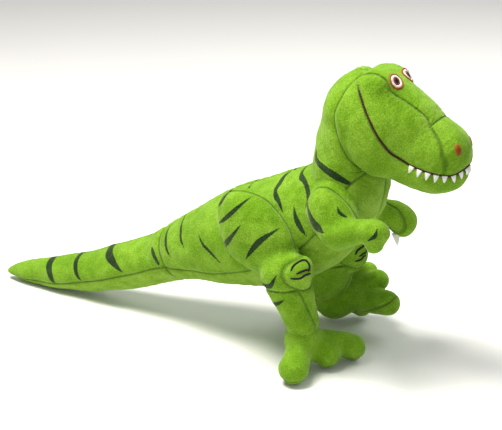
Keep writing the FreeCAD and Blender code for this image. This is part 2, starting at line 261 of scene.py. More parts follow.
def surface(distance, low, high, cell):
    """A triangle mesh of the zero surface (surface nets), drawn tight onto it."""
    values = sampled(distance, low, high, cell)
    for axis in range(3):
        np.moveaxis(values, axis, 0)[[0, -1]] = cell
    inside = values < 0
    count = sum(inside[i:i - 1 or None, j:j - 1 or None, k:k - 1 or None].astype(np.int8)
                for i in (0, 1) for j in (0, 1) for k in (0, 1))
    active = (count > 0) & (count < 8)
    number = np.full(active.shape, -1)
    number[active] = np.arange(active.sum())
    cells = np.argwhere(active)
    total, hits = np.zeros((len(cells), 3)), np.zeros(len(cells))
    quads = []
    for axis in range(3):
        u, v = [a for a in range(3) if a != axis]
        step, step_u, step_v = np.eye(3, dtype=int)[[axis, u, v]]
        for a in (cells, cells + step_u, cells + step_v, cells + step_u + step_v):
            first, second = values[tuple(a.T)], values[tuple((a + step).T)]
            crossed = (first < 0) != (second < 0)
            share = first[crossed] / (first[crossed] - second[crossed])
            total[crossed] += a[crossed] + share[:, None] * step
            hits[crossed] += 1
        lower = np.take(inside, range(inside.shape[axis] - 1), axis)
        edges = np.argwhere(lower != np.take(inside, range(1, inside.shape[axis]), axis))
        ring = [number[tuple((edges - o).T)] for o in (step_u + step_v, step_v, 0 * step, step_u)]
        quad = np.stack(ring, 1)
        outward = inside[tuple(edges.T)] == (axis != 1)
        quads.append(np.where(outward[:, None], quad, quad[:, ::-1]))
    points = (np.array(low) + cell * total / hits[:, None]).astype(np.float32)
    for _ in range(2):
        d, normal = slope(distance, points)
        points -= normal * np.clip(d, -cell, cell)[:, None]
    quads = np.concatenate(quads)
    return points, np.concatenate([quads[:, [0, 1, 2]], quads[:, [0, 2, 3]]])


def cut(rows, triangles, field):
    """The part of a mesh where the field is positive, cut cleanly along the field's zero line."""
    inside = field > 0
    count = inside[triangles].sum(1)
    kept = [triangles[count == 3]]
    mixed = (count == 1) | (count == 2)
    corner, lone_inside = triangles[mixed], count[mixed] == 1
    first = np.argmax(inside[corner] == lone_inside[:, None], axis=1)
    a, b, c = (corner[np.arange(len(corner)), (first + turn) % 3] for turn in range(3))
    pairs = np.stack([np.minimum(a, b), np.maximum(a, b), np.minimum(a, c), np.maximum(a, c)], 1)
    pairs = pairs.reshape(-1, 2)
    pairs, which = np.unique(pairs, axis=0, return_inverse=True)
    which = which.reshape(-1, 2) + len(rows)
    start, end = field[pairs[:, 0]], field[pairs[:, 1]]
    share = (start / (start - end))[:, None]
    rows = np.vstack([rows, rows[pairs[:, 0]] * (1 - share) + rows[pairs[:, 1]] * share])
    ab, ac = which[:, 0], which[:, 1]
    kept.append(np.stack([a, ab, ac], 1)[lone_inside])
    kept.append(np.stack([ab, b, c], 1)[~lone_inside])
    kept.append(np.stack([ab, c, ac], 1)[~lone_inside])
    triangles = np.concatenate(kept)
    used, triangles = np.unique(triangles, return_inverse=True)
    return rows[used], triangles.reshape(-1, 3)


# ---------------------------------------------------------------- cloth: lumps, seams and prints

def lumps(p, size, seed):
    """Smooth bumps between -1 and 1, about size millimetres apart."""
    random = np.random.default_rng(seed)
    out = np.zeros(len(p), np.float32)
    for _ in range(6):
        way = random.normal(size=3)
        way *= 2 * math.pi / size / np.linalg.norm(way) * random.uniform(0.7, 1.3)
        out += np.sin(p @ way.astype(np.float32) + random.uniform(0, 2 * math.pi))
    return out / 3.5


def stripe_distance(p, stripes):
    """Signed distance in side view to the printed stripes, each a run of (x, z, half width)."""
    best = np.full(len(p), 50.0)
    for stripe in stripes:
        line = smooth_line(stripe, 4)
        for a, b in zip(line, line[1:]):
            run = b[:2] - a[:2]
            q = p[:, [0, 2]] - a[:2]
            t = np.clip(q @ run / (run @ run + 1e-9), 0, 1)
            away = np.linalg.norm(q - t[:, None] * run, axis=1)
            best = np.minimum(best, away - (a[2] + t * (b[2] - a[2])))
    return best


# ---------------------------------------------------------------- Blender objects and materials

def mesh_object(name, points, faces, material, attributes=()):
    """A smooth-shaded object from points in millimetres and triangles or quads."""
    mesh = bpy.data.meshes.new(name)
    faces = np.asarray(faces)
    corners = faces.shape[1]
    mesh.vertices.add(len(points))
    mesh.vertices.foreach_set("co", (np.asarray(points) * MM).astype(np.float32).ravel())
    mesh.loops.add(faces.size)
    mesh.loops.foreach_set("vertex_index", faces.ravel().astype(np.int32))
    mesh.polygons.add(len(faces))
    mesh.polygons.foreach_set("loop_start", np.arange(0, faces.size, corners, dtype=np.int32))
    mesh.polygons.foreach_set("use_smooth", np.ones(len(faces), bool))
    mesh.update(calc_edges=True)
    for label, values in attributes:
        kind = "FLOAT" if values.ndim == 1 else "FLOAT_VECTOR"
        layer = mesh.attributes.new(label, kind, "POINT")
        layer.data.foreach_set("value" if values.ndim == 1 else "vector", values.astype(np.float32).ravel())
    mesh.materials.append(material)
    obj = bpy.data.objects.new(name, mesh)
    bpy.context.scene.collection.objects.link(obj)
    return obj


def thicken(obj, thickness):
    """Gives a cloth panel its thickness, inwards."""
    shell = obj.modifiers.new("cloth", "SOLIDIFY")
    shell.thickness = thickness * MM
    shell.offset = -1
    graph = bpy.context.evaluated_depsgraph_get()
    solid = bpy.data.meshes.new_from_object(obj.evaluated_get(graph))
    obj.modifiers.clear()
    obj.data = solid


def linear(code):
    """A #rrggbb colour as linear red, green, blue, alpha."""
    parts = [int(code[i:i + 2], 16) / 255 for i in (1, 3, 5)]
    return tuple(c / 12.92 if c <= 0.04045 else ((c + 0.055) / 1.055) ** 2.4 for c in parts) + (1.0,)


class Nodes:
    """A small helper that adds and links shader nodes."""

    def __init__(self, name):
        self.material = bpy.data.materials.new(name)
        self.material.use_nodes = True
        self.tree = self.material.node_tree
        self.shader = self.tree.nodes["Principled BSDF"]

    def add(self, kind, inputs=(), **settings):
        node = self.tree.nodes.new(kind)
        for key, value in settings.items():
            setattr(node, key, value)
        for key, value in dict(inputs).items():
            self.put(node.inputs[key], value)
        return node

    def put(self, socket, value):
        if isinstance(value, bpy.types.NodeSocket):
            self.tree.links.new(value, socket)
        else:
            socket.default_value = value

    def noise(self, at, scale, detail=3.0, roughness=0.55):
        inputs = {"Vector": at, "Scale": scale, "Detail": detail, "Roughness": roughness}
        return self.add("ShaderNodeTexNoise", inputs).outputs["Fac"]

    def ramp(self, value, low, high, to_low=0.0, to_high=1.0):
        node = self.add("ShaderNodeMapRange", {0: value, 1: low, 2: high, 3: to_low, 4: to_high},
                        interpolation_type="SMOOTHSTEP")
        return node.outputs[0]

    def mix(self, share, a, b):
        return self.add("ShaderNodeMix", {0: share, 6: a, 7: b}, data_type="RGBA").outputs[2]

    def sum(self, a, b, operation="ADD"):
        return self.add("ShaderNodeMath", {0: a, 1: b}, operation=operation).outputs[0]

    def bump(self, height, strength, distance, normal=None):
        inputs = {"Height": height, "Strength": strength, "Distance": distance}
        if normal:
            inputs["Normal"] = normal
        return self.add("ShaderNodeBump", inputs).outputs["Normal"]


def place(nodes):
    return nodes.add("ShaderNodeAttribute", attribute_name="rest").outputs["Vector"]


def plush(name, dark, medium, light, printed=None):
    """Short brushed pile: patches where the nap lies another way, clumps of fibre, a soft sheen, and painted
    shade along the seams.
    """
    n = Nodes(name)
    at = place(n)
    patches = n.ramp(n.noise(at, 24, 2.0), 0.36, 0.64)
    blotches = n.ramp(n.noise(at, 95, 3.0, 0.6), 0.33, 0.67)
    fibres = n.noise(at, 900, 2.0, 0.7)
    nap = n.sum(n.sum(patches, 0.24, "MULTIPLY"), n.sum(blotches, 0.18, "MULTIPLY"))
    nap = n.sum(nap, n.sum(n.ramp(fibres, 0.3, 0.7), 0.58, "MULTIPLY"))
    colour = n.mix(n.ramp(nap, 0.05, 0.55), linear(dark), linear(medium))
    colour = n.mix(n.ramp(nap, 0.45, 1.0), colour, linear(light))
    if printed:
        edge = n.add("ShaderNodeAttribute", attribute_name="print").outputs["Fac"]
        ragged = n.sum(edge, n.sum(n.sum(fibres, 0.5, "SUBTRACT"), 1.1, "MULTIPLY"))
        ink = n.mix(n.ramp(nap, 0.2, 0.9), linear(printed[0]), linear(printed[1]))
        colour = n.mix(n.ramp(ragged, -0.35, 0.35, 1.0, 0.0), colour, ink)
    sewn = n.add("ShaderNodeAttribute", attribute_name="seam").outputs["Fac"]
    dip = n.ramp(n.sum(sewn, 0.0, "ABSOLUTE"), 0.0, 2.0)
    # painted shade: near each seam the colour darkens, standing in for the shadow in its crease
    colour = n.mix(n.ramp(dip, 0, 1, 0.5, 0.0), colour, linear(SEAM_PAINTED_SHADE))
    shader = n.shader
    n.put(shader.inputs["Base Color"], colour)
    n.put(shader.inputs["Roughness"], 0.92)
    n.put(shader.inputs["Specular IOR Level"], 0.12)
    n.put(shader.inputs["Sheen Weight"], 0.3)
    n.put(shader.inputs["Sheen Roughness"], 0.4)
    n.put(shader.inputs["Sheen Tint"], linear("#dcefa6"))
    pile = n.bump(fibres, 0.55, 0.0011)
    pile = n.bump(n.noise(at, 330, 2.0, 0.6), 0.35, 0.0016, pile)
    pile = n.bump(blotches, 0.2, 0.0018, pile)
    n.put(shader.inputs["Normal"], n.bump(dip, 0.8, 0.0012, pile))
    return n.material


def matted(name, low, high, scale, roughness=0.9, bump=0.4, sheen=0.2):
    """Felt, thread or loose filling: a colour that varies with its fibres."""
    n = Nodes(name)
    at = place(n)
    fibres = n.noise(at, scale, 4.0, 0.7)
    n.put(n.shader.inputs["Base Color"], n.mix(n.ramp(fibres, 0.3, 0.7), linear(low), linear(high)))
    n.put(n.shader.inputs["Roughness"], roughness)
    n.put(n.shader.inputs["Specular IOR Level"], 0.25)
    n.put(n.shader.inputs["Sheen Weight"], sheen)
    n.put(n.shader.inputs["Normal"], n.bump(fibres, bump, 0.0006))
    return n.material


# colour of the painted shade in the seam creases
SEAM_PAINTED_SHADE = "#2c5203"
GREEN = ("#53800c", "#6b961b", "#88b03a")
PLUSH = plush("plush_green", *GREEN, printed=("#14240f", "#2c4526"))
PLAIN = plush("plush_plain", *GREEN)
PALE = plush("plush_pale", "#5a8411", "#769d26", "#90b447")
FELT = matted("felt_white", "#cfcfc8", "#f4f4f0", 1500)
FILLING = matted("filling_white", "#dcdcd4", "#fafaf6", 500, bump=0.8)
BROWN = matted("thread_brown", "#260d06", "#42190e", 2500, 0.6, sheen=0)
BLACK = matted("thread_black", "#090706", "#1a1512", 2500, 0.7, sheen=0)
ORANGE = matted("thread_orange", "#7a3a04", "#a3560c", 2200, 0.55, sheen=0)
IVORY = matted("thread_ivory", "#cdc0b8", "#e6dcd4", 2200, 0.5)
CHESTNUT = matted("thread_chestnut", "#5a2410", "#7e3a1a", 2200, 0.55)


# ---------------------------------------------------------------- a stuffed section and its panels

CLOTH = 1.8                            # thickness of a panel
GATHER = 6.5                           # how far apart a seam's gathers are
FILLING_DEPTH = 5.0                    # how far the filling lies inside the plush
FILLING_CELL = 4.5                     # mesh size of the filling
SATIN_THREADS = 46                     # ridges round an embroidered patch


class Skin:
    """A stuffed section: its shape, and how its seams draw the cloth in.

    A seam is (where, depth, width): where gives each point's distance to the seam and its place along it.
    """

    def __init__(self, distance, seams=(), wrinkle=0.6):
        self.distance, self.seams, self.wrinkle = distance, seams, wrinkle

    def lift(self, p):
        out = self.wrinkle * lumps(p, 36, 1) + 0.35 * self.wrinkle * lumps(p, 12, 2)
        for where, depth, width in self.seams:
            away, along = where(p)
            beside = np.exp(-((np.abs(away) - 1.8 * width) / (1.3 * width)) ** 2)
            gather = np.sin(2 * math.pi * along / GATHER) * beside
            out = out - depth * np.exp(-(away / width) ** 2) + 0.16 * depth * gather
        return out

    def mesh(self, low, high, stripes=(), cell=CELL):
        """Rows of x, y, z, the place on the plain shape, and the distances to the stripes and the seams."""
        points, triangles = surface(self.distance, low, high, cell)
        normal = slope(self.distance, points)[1]
        moved = points + normal * self.lift(points)[:, None]
        sewn = np.full(len(points), 30.0)
        for where, _, _ in self.seams:
            away = where(points)[0]
            sewn = np.where(np.abs(away) < np.abs(sewn), away, sewn)
        return np.hstack([moved, points, stripe_distance(points, stripes)[:, None], sewn[:, None]]), triangles

    def press(self, points, way):
        """Points moved along one direction until they meet the skin, with its outward normals."""
        points = np.asarray(points, np.float32)
        way = np.asarray(way, np.float32)
        for _ in range(14):
            d, normal = slope(self.distance, points)
            d = d - self.lift(points)
            points = points - way * (d / np.maximum(normal @ way, 0.35))[:, None]
        return points, slope(self.distance, points)[1]

    def lay(self, points, height=0.0):
        """Points given near the skin, laid on it and raised by height, with its outward normals."""
        points = np.asarray(points, np.float32)
        for _ in range(6):
            d, normal = slope(self.distance, points)
            points = points - normal * d[:, None]
        normal = slope(self.distance, points)[1]
        return points + normal * (self.lift(points) + height)[:, None], normal


def panel(name, rows, triangles, fields, material, *nodes):
    """One cloth panel of a section: where every field of the plain shape is positive."""
    for field in fields:
        rows, triangles = cut(rows, triangles, field(rows[:, 3:6]))
    obj = mesh_object(name, rows[:, :3], triangles, material,
                      [("rest", rows[:, 3:6] * MM), ("print", rows[:, 6]), ("seam", rows[:, 7])])
    thicken(obj, CLOTH)
    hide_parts(*nodes)
    return obj


def filling(name, distance, low, high, node):
    """The loose fibre inside a section, a little smaller than its cloth."""
    points, triangles = surface(lambda p: distance(p) + FILLING_DEPTH, low, high, FILLING_CELL)
    normal = slope(distance, points)[1]
    fluffed = points + normal * (0.9 * lumps(points, 9, 5))[:, None]
    obj = mesh_object(name, fluffed, triangles, FILLING, [("rest", points * MM)])
    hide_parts(node)
    return obj


def middle(p):
    """A seam in the middle plane."""
    return p[:, 1], p[:, 0] + p[:, 2]


def side_seam(line):
    """A seam that follows an (x, z) line on both flanks."""
    return lambda p: (side_distance(p, line), p[:, 0] + p[:, 2])


def beyond(point, way):
    """A field that is positive past a plane."""
    way = np.array(way, float) / np.linalg.norm(way)
    return lambda p: (p - np.array(point)) @ way


def less(field):
    """The other side of a field."""
    return lambda p: -field(p)


def within(*fields):
    """A field that is positive where all the given ones are."""
    return lambda p: np.minimum.reduce([field(p) for field in fields])


def at_seam(field):
    """A seam where a field is zero."""
    return lambda p: (field(p), p[:, 0] + p[:, 2] - p[:, 1])


# ---------------------------------------------------------------- threads, patches and felt

def stitched_line(name, skin, points, width, height, material, pitch=2.6):
    """A row of satin stitches laid along a line on the skin."""
    line = smooth_line(points, 10).astype(np.float32)
    line, normal = skin.lay(line)
    gap = np.linalg.norm(np.diff(line, axis=0), axis=1)
    along = np.concatenate([[0], np.cumsum(gap)])
    count = max(int(along[-1] / 0.35), 8)
    at = np.linspace(0, along[-1], count)
    spine = np.stack([np.interp(at, along, line[:, i]) for i in range(3)], 1)
    up = np.stack([np.interp(at, along, normal[:, i]) for i in range(3)], 1)
    run = np.gradient(spine, axis=0)
    run /= np.linalg.norm(run, axis=1, keepdims=True)
    across = np.cross(up, run)
    across /= np.linalg.norm(across, axis=1, keepdims=True)
    end = np.clip(np.minimum(at, at[-1] - at) / (2.5 * width), 0, 1)
    thick = np.sqrt(1 - (1 - end) ** 2)
    twist = 1 + 0.13 * np.cos(2 * math.pi * at / pitch)
    around = 12
    ring = np.linspace(0, 2 * math.pi, around, endpoint=False)
    scale = (np.maximum(thick, 0.05) * twist)[:, None, None]
    body = (np.cos(ring)[None, :, None] * across[:, None] * width / 2
            + np.sin(ring)[None, :, None] * up[:, None] * height)
    points = (spine[:, None] + body * scale).reshape(-1, 3)
    return mesh_object(name, points, tube_faces(count, around), material, [("rest", points * MM)])


def tube_faces(rings, around):
    """Triangles of a closed tube of rings of points, flat at both ends."""
    i, j = np.meshgrid(np.arange(rings - 1), np.arange(around), indexing="ij")
    a, b = i * around + j, i * around + (j + 1) % around
    quads = np.stack([a, b, b + around, a + around], -1).reshape(-1, 4)
    fan = np.arange(1, around - 1)
    first = np.stack([0 * fan, fan + 1, fan], 1)
    last = np.stack([0 * fan, fan, fan + 1], 1) + (rings - 1) * around
    return np.concatenate([quads[:, [0, 1, 2]], quads[:, [0, 2, 3]], first, last])


def satin_patch(name, skin, centre, facing, inner, outer, height, material):
    """An embroidered ring or disc on the skin. inner and outer are (half width across, half height)."""
    face = np.array(facing, float) / np.linalg.norm(facing)
    across = np.cross((0, 0, 1), face)
    across /= np.linalg.norm(across)
    up = np.cross(face, across)
    rings, around = 9, 96
    turn = np.linspace(0, 2 * math.pi, around, endpoint=False)
    t = np.linspace(0, 1, rings)[:, None]
    wide = (inner[0] + (outer[0] - inner[0]) * t) * np.cos(turn)
    tall = (inner[1] + (outer[1] - inner[1]) * t) * np.sin(turn)
    points = np.array(centre) + wide[..., None] * across + tall[..., None] * up
    crown = np.sqrt(np.clip(1 - (2 * t - 1) ** 2, 0, 1)) if inner[0] else np.sqrt(np.clip(1 - t ** 4, 0, 1))
    raised = height * crown * (1 + 0.10 * np.cos(SATIN_THREADS * turn)) + 0.1
    top, normal = skin.press(points.reshape(-1, 3), face)
    top = top + normal * raised.reshape(-1, 1)
    bottom = top - normal * (raised.reshape(-1, 1) + 0.8)
    i, j = np.meshgrid(np.arange(rings - 1), np.arange(around), indexing="ij")
    a, b = i * around + j, i * around + (j + 1) % around
    quads = np.stack([a, a + around, b + around, b], -1).reshape(-1, 4)
    total = rings * around
    j = np.arange(around)
    k, outer_start = (j + 1) % around, total - around
    edge_out = np.stack([j, j + total, k + total, k], 1) + outer_start
    edge_in = np.stack([j, k, k + total, j + total], 1)
    faces = np.concatenate([quads, quads[:, ::-1] + total, edge_out, edge_in])
    obj = mesh_object(name, np.vstack([top, bottom]), faces, material,
                      [("rest", np.vstack([top, bottom]) * MM)])
    if not inner[0]:
        weld(obj)
    return slotted(obj)


def weld(obj):
    """Merges the points at the middle of a disc."""
    soft = bmesh.new()
    soft.from_mesh(obj.data)
    bmesh.ops.remove_doubles(soft, verts=soft.verts, dist=0.00001)
    soft.to_mesh(obj.data)
    soft.free()


def slotted(obj):
    return obj


def felt_point(root, across, down, out, width, length, thick):
    """A cut felt triangle with soft edges: closed rings of points from its base to its tip."""
    steps = np.linspace(0, 1, 9)
    ring = np.linspace(0, 2 * math.pi, 20, endpoint=False)
    flat = np.sign(np.cos(ring)) * np.abs(np.cos(ring)) ** 0.55
    deep = np.sign(np.sin(ring)) * np.abs(np.sin(ring)) ** 0.8
    rings = []
    for t in steps:
        half = width / 2 * (1 - t) ** 0.8 + 0.28
        middle_of = root + down * length * t + out * 1.4 * math.sin(math.pi * t) * 0.6
        rings.append(middle_of + flat[:, None] * across * half + deep[:, None] * out * thick / 2)
    return np.array(rings)


def felt_object(name, points_list):
    """Several felt triangles in one object."""
    points, faces, start = [], [], 0
    for rings in points_list:
        count, around = rings.shape[:2]
        faces.append(tube_faces(count, around) + start)
        points.append(rings.reshape(-1, 3))
        start += count * around
    points = np.vstack(points)
    obj = mesh_object(name, points, np.concatenate(faces), FELT, [("rest", points * MM)])
    return slotted(obj)


# ---------------------------------------------------------------- trunk and tail

TAIL_ROOT, TAIL_WAY = (-40, 0, 68), (-1, 0, -0.45)
TAIL_CUT = beyond(TAIL_ROOT, TAIL_WAY)
SIDE_SEAM = [(-300, 0), (-262, 3), (-225, 7), (-188, 12), (-148, 23), (-91, 43), (-46, 62), (-10, 67),
             (30, 74), (80, 92), (115, 113), (138, 137), (152, 158), (163, 178), (176, 196), (196, 208),
             (220, 214)]
TRUNK_STRIPES = [
    [(-203, 42, 4.0), (-199, 32, 4.2), (-194, 22, 3.8), (-190, 13, 2.0)],
    [(-164, 52, 3.0), (-162, 42, 3.2), (-157, 31, 2.6), (-151, 23, 0.8)],
    [(-124, 70, 4.2), (-119, 60, 4.6), (-108, 54, 4.0), (-95, 46, 0.8)],
    [(-57, 80, 2.0), (-52, 74, 2.6), (-46, 67, 1.6)],
    [(-43, 104, 0.8), (-39, 95, 1.9), (-34, 86, 1.7), (-27, 78, 0.3)],
    [(-28, 119, 0.8), (-20, 109, 1.6), (-15, 101, 1.6), (-8, 94, 0.3)],
    [(8, 115, 0.3), (16, 106, 1.5), (26, 99, 1.8), (40, 88, 0.3)],
    [(48, 163, 0.6), (53, 160, 1.4), (58, 158, 0.3)],
    [(93, 185, 0.4), (91, 176, 2.6), (90, 169, 2.2), (99, 162, 2.6), (107, 154, 0.3)],
    [(108, 192, 0.8), (113, 186, 2.2), (122, 184, 2.2), (131, 176, 2.8), (143, 160, 3.2), (148, 148, 1.6)],
    [(117, 164, 0.4), (121, 154, 2.2), (126, 146, 2.6), (133, 136, 0.4)],
    [(131, 216, 0.8), (133, 208, 2.6), (145, 203, 3.0), (159, 197, 3.4), (176, 188, 0.4)]]
TRUNK_BOX = ((-285, -72, -12), (228, 72, 312))


def past_tail(p):
    """How far a point lies behind the seam at the root of the tail."""
    return (p - np.array(TAIL_ROOT, np.float32)) @ np.array(TAIL_WAY, np.float32) / np.linalg.norm(TAIL_WAY)


def build_trunk():
    seams = [(middle, 1.3, 2.6), (side_seam(SIDE_SEAM), 1.2, 2.4), (at_seam(TAIL_CUT), 1.6, 3.2),
             (side_seam(NAPE_SEAM), 2.2, 4.0)]
    skin = Skin(trunk, seams, 0.8)
    rows, triangles = skin.mesh(*TRUNK_BOX, TRUNK_STRIPES)
    above = less(lambda p: side_distance(p, SIDE_SEAM))
    below = less(above)
    for side, word in SIDES:
        own = beyond((0, 0, 0), (0, side, 0))
        flank = panel("flank_" + word, rows, triangles, [less(TAIL_CUT), above, own], PLUSH,
                      "torso_panel_" + word, "nape_panel_" + word)
        belly = panel("underside_" + word, rows, triangles, [less(TAIL_CUT), below, own], PALE,
                      "belly_panel_" + word)
        tail = panel("tail_side_" + word, rows, triangles, [TAIL_CUT, above, own], PLUSH,
                     "tail_panel_" + word)
        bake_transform(flank)
        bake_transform(belly)
        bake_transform(tail)
    under = panel("tail_underside", rows, triangles, [TAIL_CUT, below], PALE, "tail_gusset")
    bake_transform(under)
    core = filling("torso_fibre", lambda p: soft_trim(trunk(p), past_tail(p) + 3, 4), *TRUNK_BOX,
                   "torso_stuffing")
    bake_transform(core)
    core = filling("tail_fibre", lambda p: soft_trim(trunk(p), 3 - past_tail(p), 4), *TRUNK_BOX,
                   "tail_stuffing")
    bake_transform(core)
    return skin


# ---------------------------------------------------------------- head

HEAD_BOX = ((120, -62, 178), (290, 62, 308))
MOUTH_CUT = [(138, 304), (158, 292)] + MOUTH + [(312, 244)]
STRIP_ALONG = (-87, -50, -33, 4, 34, 49, 70)       # how far forward along the snout, x - 0.9 z
STRIP_HALF = (21, 23, 20, 17, 23, 26, 24)          # half width of the strip on top there
NOSE_SEAM = 13
MOUTH_LINE = [(173, 30, 279), (185, 39, 262), (196, 41, 245), (203, 41, 236), (212, 38, 224), (224, 34, 217),
              (236, 32, 213), (248, 29, 210), (257, 25, 208), (264, 19, 208), (269, 10, 211), (271, 0, 214)]
TEETH_PER_SIDE = 8
TOOTH_WIDTH, TOOTH_LENGTH, TOOTH_THICK = 4.8, 7.2, 1.4
EYE, EYE_FACING = (201, 12.5, 285.5), (0.64, 0.53, 0.56)
NOSTRIL, NOSTRIL_FACING = (262, 14.5, 231), (0.74, 0.48, 0.47)


def mirror(point, side):
    return (point[0], point[1] * side, point[2])


def strip_edge(p):
    """Positive on the strip along the top of the snout."""
    return np.interp(p[:, 0] - 0.9 * p[:, 2], STRIP_ALONG, STRIP_HALF) - np.abs(p[:, 1])


def build_head():
    def over(p):
        return -side_distance(p, MOUTH_CUT)

    def nose(p):
        return p[:, 0] - 0.9 * p[:, 2] - NOSE_SEAM

    on_top = within(strip_edge, over)
    seams = [(lambda p: (np.where(over(p) > 0, strip_edge(p), 30), p[:, 0] - p[:, 2]), 0.9, 2.0),
             (lambda p: (np.where(on_top(p) > -1, nose(p), 30), p[:, 1]), 0.7, 1.8),
             (side_seam(MOUTH), 1.5, 2.6)]
    skin = Skin(head, seams, 0.7)
    rows, triangles = skin.mesh(*HEAD_BOX)
    top = panel("snout_strip", rows, triangles, [over, strip_edge, less(nose)], PLAIN, "snout_top_panel")
    tip = panel("nose_cover", rows, triangles, [over, strip_edge, nose], PLAIN, "nose_panel")
    jaw = panel("chin_cover", rows, triangles, [less(over)], PLAIN, "jaw_panel")
    parts = [top, tip, jaw, filling("head_fibre", head, *HEAD_BOX, "head_stuffing")]
    for side, word in SIDES:
        own = beyond((0, 0, 0), (0, side, 0))
        parts.append(panel("cheek_cover_" + word, rows, triangles, [over, less(strip_edge), own], PLAIN,
                           "cheek_panel_" + word))
        parts += face_side(skin, side, word)
    route = [mirror(p, RIGHT) for p in MOUTH_LINE] + [mirror(p, LEFT) for p in MOUTH_LINE[-2::-1]]
    line = stitched_line("mouth_line", skin, route, 1.9, 0.9, BROWN)
    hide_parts("mouth_stitching")
    parts.append(slotted(line))
    for part in parts:
        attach(part, "head")


def face_side(skin, side, word):
    """The eye, nostril and teeth of one side."""
    eye, facing = mirror(EYE, side), mirror(EYE_FACING, side)
    rim = satin_patch("eye_ring_" + word, skin, eye, facing, (6.0, 6.4), (7.5, 8.0), 0.9, ORANGE)
    white = satin_patch("eye_ball_" + word, skin, eye, facing, (3.5, 3.9), (6.1, 6.5), 0.7, IVORY)
    iris = satin_patch("eye_colour_" + word, skin, eye, facing, (2.1, 2.4), (3.6, 4.0), 0.8, CHESTNUT)
    pupil = satin_patch("eye_centre_" + word, skin, eye, facing, (0, 0), (2.2, 2.5), 0.9, BLACK)
    hole = satin_patch("nose_spot_" + word, skin, mirror(NOSTRIL, side), mirror(NOSTRIL_FACING, side), (0, 0),
                       (3.3, 5.4), 0.9, ORANGE)
    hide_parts("eye_rim_" + word)
    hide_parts("eye_white_" + word)
    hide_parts("eye_iris_" + word)
    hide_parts("eye_pupil_" + word)
    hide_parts("nostril_" + word)
    line = smooth_line([mirror(p, side) for p in MOUTH_LINE[5:]], 12).astype(np.float32)
    line, normal = skin.lay(line)
    along = np.concatenate([[0], np.cumsum(np.linalg.norm(np.diff(line, axis=0), axis=1))])
    teeth = []
    for number in range(TEETH_PER_SIDE):
        at = along[-1] * (number + 0.5) / TEETH_PER_SIDE
        root = np.array([np.interp(at, along, line[:, i]) for i in range(3)])
        out = np.array([np.interp(at, along, normal[:, i]) for i in range(3)])
        out[2] = min(out[2], 0.0)
        out /= np.linalg.norm(out)
        ahead = np.array([np.interp(at + 1, along, line[:, i]) for i in range(3)]) - root
        ahead /= np.linalg.norm(ahead)
        down = np.array([0, 0, -1.0]) - ahead * -ahead[2]
        down -= out * (down @ out) * 0.6
        down /= np.linalg.norm(down)
        teeth.append(felt_point(root + out * 0.6, ahead, down, out, TOOTH_WIDTH, TOOTH_LENGTH, TOOTH_THICK))
    fangs = felt_object("tooth_row_" + word, teeth)
    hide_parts("teeth_" + word)
    return [rim, white, iris, pupil, hole, fangs]


# ---------------------------------------------------------------- arms

ARM_BOX = {RIGHT: ((125, -90, 115), (228, -18, 200)), LEFT: ((120, 18, 100), (212, 82, 190))}
ARM_MIDDLE = {RIGHT: -48, LEFT: 46}
CLAW_ROOT = {RIGHT: (198, -54, 145), LEFT: (181, 50, 117)}
CLAW_WIDTH, CLAW_LENGTH, CLAW_THICK = 8, 12, 2.2
ARM_STRIPES = [[(168, 176, 0.2), (172, 170, 1.2), (178, 166, 0.3)],
               [(214, 166, 0.4), (213, 160, 2.0), (206, 154, 0.4)],
               [(113, 188, 1.2), (122, 184, 2.4), (131, 176, 3.0), (143, 160, 4.8), (150, 155, 5.2),
                (161, 152, 0.4)]]


def build_arm(side, word):
    seam = at_seam(lambda p: p[:, 1] - ARM_MIDDLE[side])
    skin = Skin(lambda p: arm(p, side), [(seam, 0.9, 2.2)], 0.6)
    rows, triangles = skin.mesh(*ARM_BOX[side], ARM_STRIPES, CELL * 0.8)

    def own(p):
        return 5.0 - (arm_alone(p, side) - trunk(p))

    outer = beyond((0, ARM_MIDDLE[side], 0), (0, side, 0))
    parts = [panel("arm_outside_" + word, rows, triangles, [own, outer], PLUSH, "arm_panel_outer_" + word),
             panel("arm_inside_" + word, rows, triangles, [own, less(outer)], PLUSH,
                   "arm_panel_inner_" + word),
             filling("arm_fibre_" + word, lambda p: arm_alone(p, side), *ARM_BOX[side],
                     "arm_stuffing_" + word)]
    root, normal = skin.lay([CLAW_ROOT[side]], -0.6)
    down = np.array([0.2, 0, -1.0]) / math.hypot(0.2, 1)
    claw = felt_object("hand_claw_" + word,
                       [felt_point(root[0], np.array([0.94, 0.34, 0.0]), down, np.array([0.34, -0.94, 0.0]),
                                   CLAW_WIDTH, CLAW_LENGTH, CLAW_THICK)])
    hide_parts("claw_" + word)
    for part in parts:
        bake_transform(part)
    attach(claw, "arm_" + word)


# ---------------------------------------------------------------- legs and feet

LEG_BOX = {RIGHT: ((12, -98, 30), (168, -10, 192)), LEFT: ((25, 10, 18), (165, 92, 176))}
FOOT_BOX = {RIGHT: ((100, -108, -6), (198, 6, 62)), LEFT: ((86, 36, -6), (196, 112, 74))}
LEG_MIDDLE = {RIGHT: -52, LEFT: 52}
KNEE = {RIGHT: (143, -57, 105), LEFT: (147, 49, 90)}
KNEE_WIDE, KNEE_TALL = 29, 17.5
SHIN_TOP = {RIGHT: (130, -60, 88), LEFT: (120, 58, 74)}
SOLE_PLANE = {RIGHT: ((130, -48, 5.5), (0, 0, 1)), LEFT: ((116, 70, 4), (-0.55, -0.12, 0.83))}
LEG_STRIPES = [[(52, 170, 0.6), (47, 161, 1.9), (42, 152, 0.3)],
               [(78, 169, 0.3), (66, 157, 2.1), (56, 147, 2.3), (46, 138, 0.3)],
               [(75, 145, 0.4), (64, 130, 2.3), (53, 118, 2.7), (40, 105, 0.3)],
               [(111, 145, 0.3), (97, 134, 2.7), (88, 123, 2.5), (79, 110, 0.3)],
               [(92, 92, 0.8), (102, 90, 2.5), (111, 93, 2.4), (118, 106, 0.3)],
               [(104, 72, 0.8), (114, 73, 2.2), (125, 81, 0.3)]]
